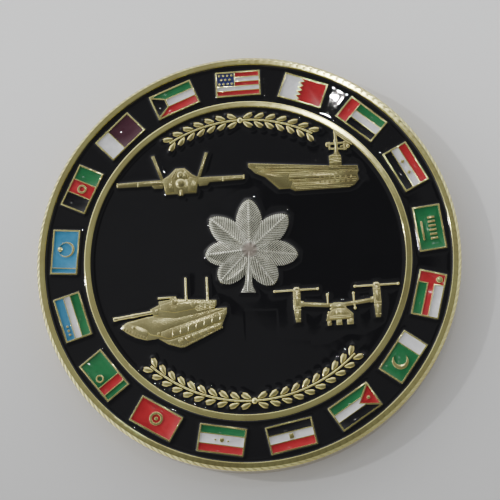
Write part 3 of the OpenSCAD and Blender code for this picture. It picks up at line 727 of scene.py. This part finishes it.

# ---------------------------------------------------------------------------------------------
# Silver oak leaf: a separate casting, silver plated, on two pegs. Seven crowned lobes with a
# midrib each and close herringbone veins, round a plain hub rubbed dull and painted with a pinkish
# reflection, with a short flared stem.

LEAF_AT = Vector((0.35, 0.8))
HUB_TOP = 3.85
silver, silver_skin, silver_at = new_finish("silver_plate", metallic=1.0, roughness=0.3)
silver_tone = noise(silver_at, 0.6, 3).between(0.3, 0.7).mix((0.51, 0.515, 0.44), (0.40, 0.40, 0.335))
from_hub = silver_at.node("ShaderNodeVectorMath", {"operation": "DISTANCE"}, output=1, _0=silver_at,
                          _1=(LEAF_AT.x * MM, LEAF_AT.y * MM, HUB_TOP * MM))
hub_painted_reflection_and_matt = (from_hub / MM).between(1.2, 0.6)
# Painted reflection: the hub is painted a darker pinkish tone, a reflection of a figure over the coin; the
# same mask makes it rougher.
silver_at.feed(silver_skin.inputs["Base Color"], hub_painted_reflection_and_matt.mix(silver_tone, (0.30, 0.265, 0.23)))
silver_at.feed(silver_skin.inputs["Roughness"], 0.10 + 0.12 * noise(silver_at, 2.2, 3) + 0.3 * hub_painted_reflection_and_matt)
silver_at.feed(silver_skin.inputs["Normal"], bump(silver_at, 0.15, 0.02, noise(silver_at, 7.0, 3)))

LOBES = ((1.5, 6.4), (49.5, 6.25), (-47, 6.3), (100, 5.85), (-93, 5.4), (148, 5.2), (-135, 5.3))
LOBE_HALF = 1.65
LOBE_BLUNT = 0.3
STEM_TURN = -4.5
VEIN_PITCH = 0.30
VEIN_ROWS = 6
HUB_R = 0.95
leaf_bm = bmesh.new()
leaf_place = Matrix.Translation((*LEAF_AT, 0))


def lobe_half(x, length):
    """Half width of a lobe: a pointed oval with its tip rounded off."""
    full = length + LOBE_BLUNT
    tip = min(1.0, max(0.0, 1 - (length - x) / 0.7))
    return lens_half(min(x, full) / full, full, LOBE_HALF) * math.sqrt(1 - tip ** 3)


def along_vein(start, y):
    """Where the vein that leaves the midrib at start has got to at a distance y from it."""
    return start + 1.1 * y - 0.1 * y * y


def vein_end(start, length):
    near, far = 0.0, LOBE_HALF * 1.1
    for _ in range(26):
        y = (near + far) / 2
        if lobe_half(along_vein(start, y), length) > y:
            near = y
        else:
            far = y
    return near


def lobe(bm, place, length, columns=24):
    """One lobe: a grid whose rows run out along the veins, with a groove between each two."""
    rows = int(length / VEIN_PITCH * VEIN_ROWS)
    ends = [vein_end(length * row / rows, length) for row in range(rows + 1)]
    grid = bmesh.ops.create_grid(bm, x_segments=rows, y_segments=columns, size=0.5)["verts"]
    for v in grid:
        row, across = round((v.co.x + 0.5) * rows), 2 * v.co.y
        start = length * row / rows
        y = abs(across) * ends[row]
        x = along_vein(start, y)
        inward = max(0.0, lobe_half(x, length) - y)
        body = 3.6 + 0.26 * min(1, inward / 0.6) ** 0.55
        rib = 0.06 * max(0, 1 - (y / 0.13) ** 2)
        phase = start / VEIN_PITCH % 1
        groove = math.exp(-((phase - 0.5) / 0.2) ** 2)
        off_hub = max(0, math.hypot(x, y) - HUB_R)
        fade = min(1, max(0, inward - 0.02) / 0.1) * min(1, y / 0.12) * min(1, off_hub / 0.3)
        v.co = (x, math.copysign(y, across), body + rib - 0.14 * fade * groove)
    bmesh.ops.transform(bm, matrix=place, verts=grid + stand_on(bm, grid, ROOT))


for turn, length in LOBES:
    lobe(leaf_bm, leaf_place @ Matrix.Rotation(math.radians(90 - turn), 4, "Z"), length)
clean(leaf_bm)
stem_place = leaf_place @ Matrix.Rotation(math.radians(STEM_TURN), 4, "Z")


def stem_point(x, y):
    where = stem_place @ Vector((x, y, 0))
    return (where.x, where.y)


stem_outline = ((-0.45, -0.3), (-0.4, -4.2), (-0.9, -5.2), (0.9, -5.2), (0.4, -4.2), (0.45, -0.3))
stem = [stem_point(x, y) for x, y in stem_outline]
block(leaf_bm, stem, 3.74, 0.1)
rod(leaf_bm, stem_point(0, -5.1), stem_point(0, -0.2), 0.2, 3.72)
for k in range(14):
    for side in (1, -1):
        end = stem_point(side * (0.38 + 0.05 * max(0, k - 7)), -2.15 - 0.23 * k)
        rod(leaf_bm, stem_point(0, -1.9 - 0.23 * k), end, 0.06, 3.75, segments=8)
dome(leaf_bm, LEAF_AT, (1.0, 1.0, 0.16), 3.74, 40)
piece("silver_leaf_cast", leaf_bm, silver, ["silver_leaf"], crease=60)

# ---------------------------------------------------------------------------------------------
# Black enamel: poured liquid into the field and the band and cured. It lies level, sinks a
# little in the open and climbs every metal wall, so its gloss draws a rim of light round them.

black, black_skin, black_at = new_finish("black_enamel", roughness=0.09)
black_tone = noise(black_at, 0.25, 3).mix((0.0018, 0.0018, 0.0026), (0.003, 0.003, 0.0045))
black_at.feed(black_skin.inputs["Base Color"], black_tone)
dust = noise(black_at, 9.0, 2).between(0.66, 0.74)
black_at.feed(black_skin.inputs["Roughness"], 0.008 + 0.008 * noise(black_at, 0.5, 3) + 0.06 * dust)
black_at.feed(black_skin.inputs["Normal"], bump(black_at, 0.25, 0.012, noise(black_at, 0.45, 2)))

CLIMB = 0.11
REACH = 0.20


def gap_to_bars(points, starts, stops, radius=0.0):
    """Distance from each point to the nearest of the segments, less the radius."""
    run = stops - starts
    size = np.maximum((run ** 2).sum(1), 1e-9)
    nearest = np.full(len(points), 9.0)
    for a, r, s in zip(starts, run, size):
        t = np.clip(((points - a) @ r) / s, 0, 1)
        gap = np.hypot(*(points - a - t[:, None] * r).T) - radius
        nearest = np.minimum(nearest, gap)
    return nearest


def gap_to_outline(points, outline):
    """Distance from each point to the edge of the outline, negative inside it."""
    corners = np.array(outline)
    close = np.all((points > corners.min(0) - 2) & (points < corners.max(0) + 2), axis=1)
    nearest = np.full(len(points), 9.0)
    nearest[close] = gap_to_bars(points[close], corners, np.roll(corners, -1, axis=0))
    inside = np.zeros(len(points), bool)
    for (x0, y0), (x1, y1) in zip(corners, np.roll(corners, -1, axis=0)):
        if y0 != y1:
            level = (y0 > points[:, 1]) != (y1 > points[:, 1])
            inside ^= level & (points[:, 0] < (x1 - x0) * (points[:, 1] - y0) / (y1 - y0) + x0)
    nearest[inside] *= -1
    return nearest


def gap_to_lobes(points):
    """Distance from each point to the nearest lobe of the silver leaf, negative under it."""
    nearest = np.full(len(points), 9.0)
    for turn, length in LOBES:
        a = math.radians(90 - turn)
        along = (points - np.array(LEAF_AT)) @ np.array((math.cos(a), math.sin(a)))
        across = (points - np.array(LEAF_AT)) @ np.array((-math.sin(a), math.cos(a)))
        full = length + LOBE_BLUNT
        arc = (full ** 2 / 4 + LOBE_HALF ** 2) / (2 * LOBE_HALF)
        gap = np.hypot(along - full / 2, np.abs(across) + arc - LOBE_HALF) - arc
        nearest = np.minimum(nearest, np.maximum(gap, along - length))
    return nearest


def lift_enamel(top, gap, level, reach=REACH, sink=0.02, sign=1):
    """Shapes the poured surface: it climbs where the metal is close and sinks in the open."""
    rise = CLIMB * np.exp(-np.maximum(gap, -0.06) / reach) - sink * (1 - np.exp(-np.maximum(gap, 0) / 3))
    for v, h in zip(top, rise):
        v.co.z = level + sign * h


def sheet(cells):
    """A round grid a little wider than the inside of the ring, its points and where they lie."""
    bm = bmesh.new()
    bmesh.ops.create_grid(bm, x_segments=cells, y_segments=cells, size=RING[0] + 0.3)
    beyond = [v for v in bm.verts if v.co.xy.length > RING[0] + 0.22]
    bmesh.ops.delete(bm, geom=beyond, context="VERTS")
    top = list(bm.verts)
    return bm, top, np.array([v.co[:2] for v in top])


field_bm, field_top, spots = sheet(340)
gap = RING[0] - np.hypot(*spots.T)
for outline in outlines + [stem]:
    gap = np.minimum(gap, gap_to_outline(spots, outline))
for radius in sorted({leaf[2] for leaf in sprig_leaves}):
    starts, stops = (np.array([leaf[k] for leaf in sprig_leaves if leaf[2] == radius]) for k in range(2))
    gap = np.minimum(gap, gap_to_bars(spots, starts, stops, radius))
gap = np.minimum(gap, gap_to_lobes(spots))
lift_enamel(field_top, gap, ENAMEL)
stand_on(field_bm, field_top, FLOOR)
bmesh.ops.recalc_face_normals(field_bm, faces=field_bm.faces)
piece("field_enamel_pour", field_bm, black, ["field_enamel"])

FLAG_W, FLAG_H, FLAG_R, FLAG_COUNT = 5.5, 3.25, 22.0, 17
BAND_ROWS = 60
inner, outer = RING[1] - 0.05, RIM_IN + 0.05
band_bm = turned([(inner + (outer - inner) * k / BAND_ROWS, ENAMEL) for k in range(BAND_ROWS + 1)], 1122)
band_top = list(band_bm.verts)
spots = np.array([v.co[:2] for v in band_top])
reach = np.hypot(*spots.T)
gap = np.minimum(reach - RING[1], RIM_IN - reach)
sector = 2 * math.pi / FLAG_COUNT
turn = np.arctan2(spots[:, 0], spots[:, 1])
turn -= np.round(turn / sector) * sector
beside = np.abs(reach * np.sin(turn)) - FLAG_W / 2
above = np.abs(reach * np.cos(turn) - FLAG_R) - FLAG_H / 2
past_flag = np.hypot(np.maximum(beside, 0), np.maximum(above, 0))
under_flag = np.minimum(np.maximum(beside, above), 0)
gap = np.minimum(gap, past_flag + under_flag)
lift_enamel(band_top, gap, ENAMEL, reach=0.13, sink=0)
_, rings = walls_down(band_bm, band_top, FLOOR)
bmesh.ops.bridge_loops(band_bm, edges=rings)
bmesh.ops.recalc_face_normals(band_bm, faces=band_bm.faces)
piece("band_enamel_pour", band_bm, black, ["band_enamel"])

# ---------------------------------------------------------------------------------------------
# Flag colours: one pour per colour and flag, dropped into its own metal cell and cured. Each
# stands a little below the metal lines, dished in the middle and climbing at its edges.

PAINTS = {"blue": (0.030, 0.040, 0.16), "red": (0.44, 0.022, 0.030), "white": (0.74, 0.74, 0.76),
          "green": (0.014, 0.15, 0.050), "black": (0.005, 0.005, 0.007), "skyblue": (0.05, 0.25, 0.44),
          "azure": (0.055, 0.22, 0.38), "maroon": (0.060, 0.018, 0.030)}
paint_finishes = {}


def paint(name):
    """The enamel of that colour, made when it is first asked for."""
    if name not in paint_finishes:
        finish, skin, at = new_finish(name + "_enamel", roughness=0.14)
        tint = PAINTS[name]
        cloud = noise(at, 0.9, 3)
        deep = tuple(0.82 * c for c in tint)
        at.feed(skin.inputs["Base Color"], cloud.between(0.3, 0.75).mix(tint, deep))
        at.feed(skin.inputs["Roughness"], 0.04 + 0.05 * noise(at, 1.5, 2))
        at.feed(skin.inputs["Normal"], bump(at, 0.3, 0.015, noise(at, 1.2, 2)))
        paint_finishes[name] = finish
    return paint_finishes[name]


DISH = ((0.0, 0.07), (0.02, -0.05), (0.025, -0.03), (0.03, -0.015))
for node_name in sorted(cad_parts):
    if not node_name.startswith("flag"):
        continue
    colour = node_name.split("_")[1]
    pour = copy_of(node_name)
    bmesh.ops.dissolve_limit(pour, angle_limit=math.radians(1), use_dissolve_boundaries=False,
                             verts=pour.verts, edges=pour.edges, delimit={"NORMAL"})
    round_over(pour, [f for f in pour.faces if f.normal.z > 0.99], DISH)
    tint_name = "azure" if node_name == "flag13_blue" else colour
    piece(node_name + "_pour", pour, paint(tint_name), [node_name], crease=24)

# ---------------------------------------------------------------------------------------------
# Reverse: a faceted compass star standing in black enamel, and a laurel wreath on the frosted
# band between ring and rim.

BACK_ENAMEL = 0.35
STAR = ((15.0, 0, 0.03), (9.5, 45, 0.09))
STAR_WAIST = 2.6
STAR_POINT_Z, STAR_WAIST_Z, STAR_FOOT = 0.16, 0.2, 0.65
star_bm = bmesh.new()
for long, spin, ridge in STAR:
    fan = bmesh.ops.create_circle(star_bm, cap_ends=True, cap_tris=True, segments=8, radius=1)["verts"]
    for v in fan:
        if v.co.length < 0.5:
            v.co.z = ridge
        elif abs(v.co.x * v.co.y) < 0.1:
            v.co = v.co * long + Vector((0, 0, STAR_POINT_Z))
        else:
            v.co = v.co * STAR_WAIST * math.sqrt(2) + Vector((0, 0, STAR_WAIST_Z))
    low = stand_on(star_bm, fan, STAR_FOOT)
    bmesh.ops.rotate(star_bm, matrix=Matrix.Rotation(math.radians(spin), 3, "Z"), verts=fan + low)
bmesh.ops.recalc_face_normals(star_bm, faces=star_bm.faces)
piece("compass_star", star_bm, gold, ["coin_blank"], crease=5)

wreath_bm = bmesh.new()
WREATH_LEAF = (2.2, 0.5)


def wreath_surface(x, across):
    return 0.42 - 0.22 * swell(x, across, WREATH_LEAF[0]) + midrib(across)


WREATH_R = 22.0
WREATH_START = 176
WREATH_PAIRS = 30
WREATH_STEP = 172 / WREATH_PAIRS
for side in (1, -1):
    for k in range(WREATH_PAIRS):
        turn = WREATH_START - k * WREATH_STEP
        for offset in (0.75, -0.75):
            spot = on_circle(WREATH_R + offset, turn)
            lie = math.pi - math.radians(turn) + math.radians(-28 if offset > 0 else 28)
            place = sprig_place(spot, lie, (side, 1), WREATH_LEAF[0])
            blade(wreath_bm, *WREATH_LEAF, place, 8, 4, wreath_surface, BACK_FLOOR + 0.1)
    for k in range(WREATH_PAIRS * 2 - 1):
        start, stop = (on_circle(WREATH_R, WREATH_START - part * WREATH_STEP / 2) for part in (k, k + 1.1))
        rod(wreath_bm, (start.x * side, start.y), (stop.x * side, stop.y), 0.16, 0.5, segments=8)
clean(wreath_bm)
piece("reverse_wreath", wreath_bm, gold, ["coin_blank"], crease=50)

back_bm, back_top, spots = sheet(180)
gap = RING[0] - np.hypot(*spots.T)
for long, spin, _ in STAR:
    for k in range(4):
        a = math.radians(90 * k + spin)
        turn = np.array(((math.cos(a), -math.sin(a)), (math.sin(a), math.cos(a))))
        corners = ((0, 0), (STAR_WAIST, STAR_WAIST), (0, long), (-STAR_WAIST, STAR_WAIST))
        kite = [tuple(turn @ np.array(c)) for c in corners]
        gap = np.minimum(gap, gap_to_outline(spots, kite))
lift_enamel(back_top, gap, BACK_ENAMEL, sign=-1)
stand_on(back_bm, back_top, BACK_FLOOR)
bmesh.ops.recalc_face_normals(back_bm, faces=back_bm.faces)
piece("reverse_enamel_pour", back_bm, black, ["reverse_enamel"])
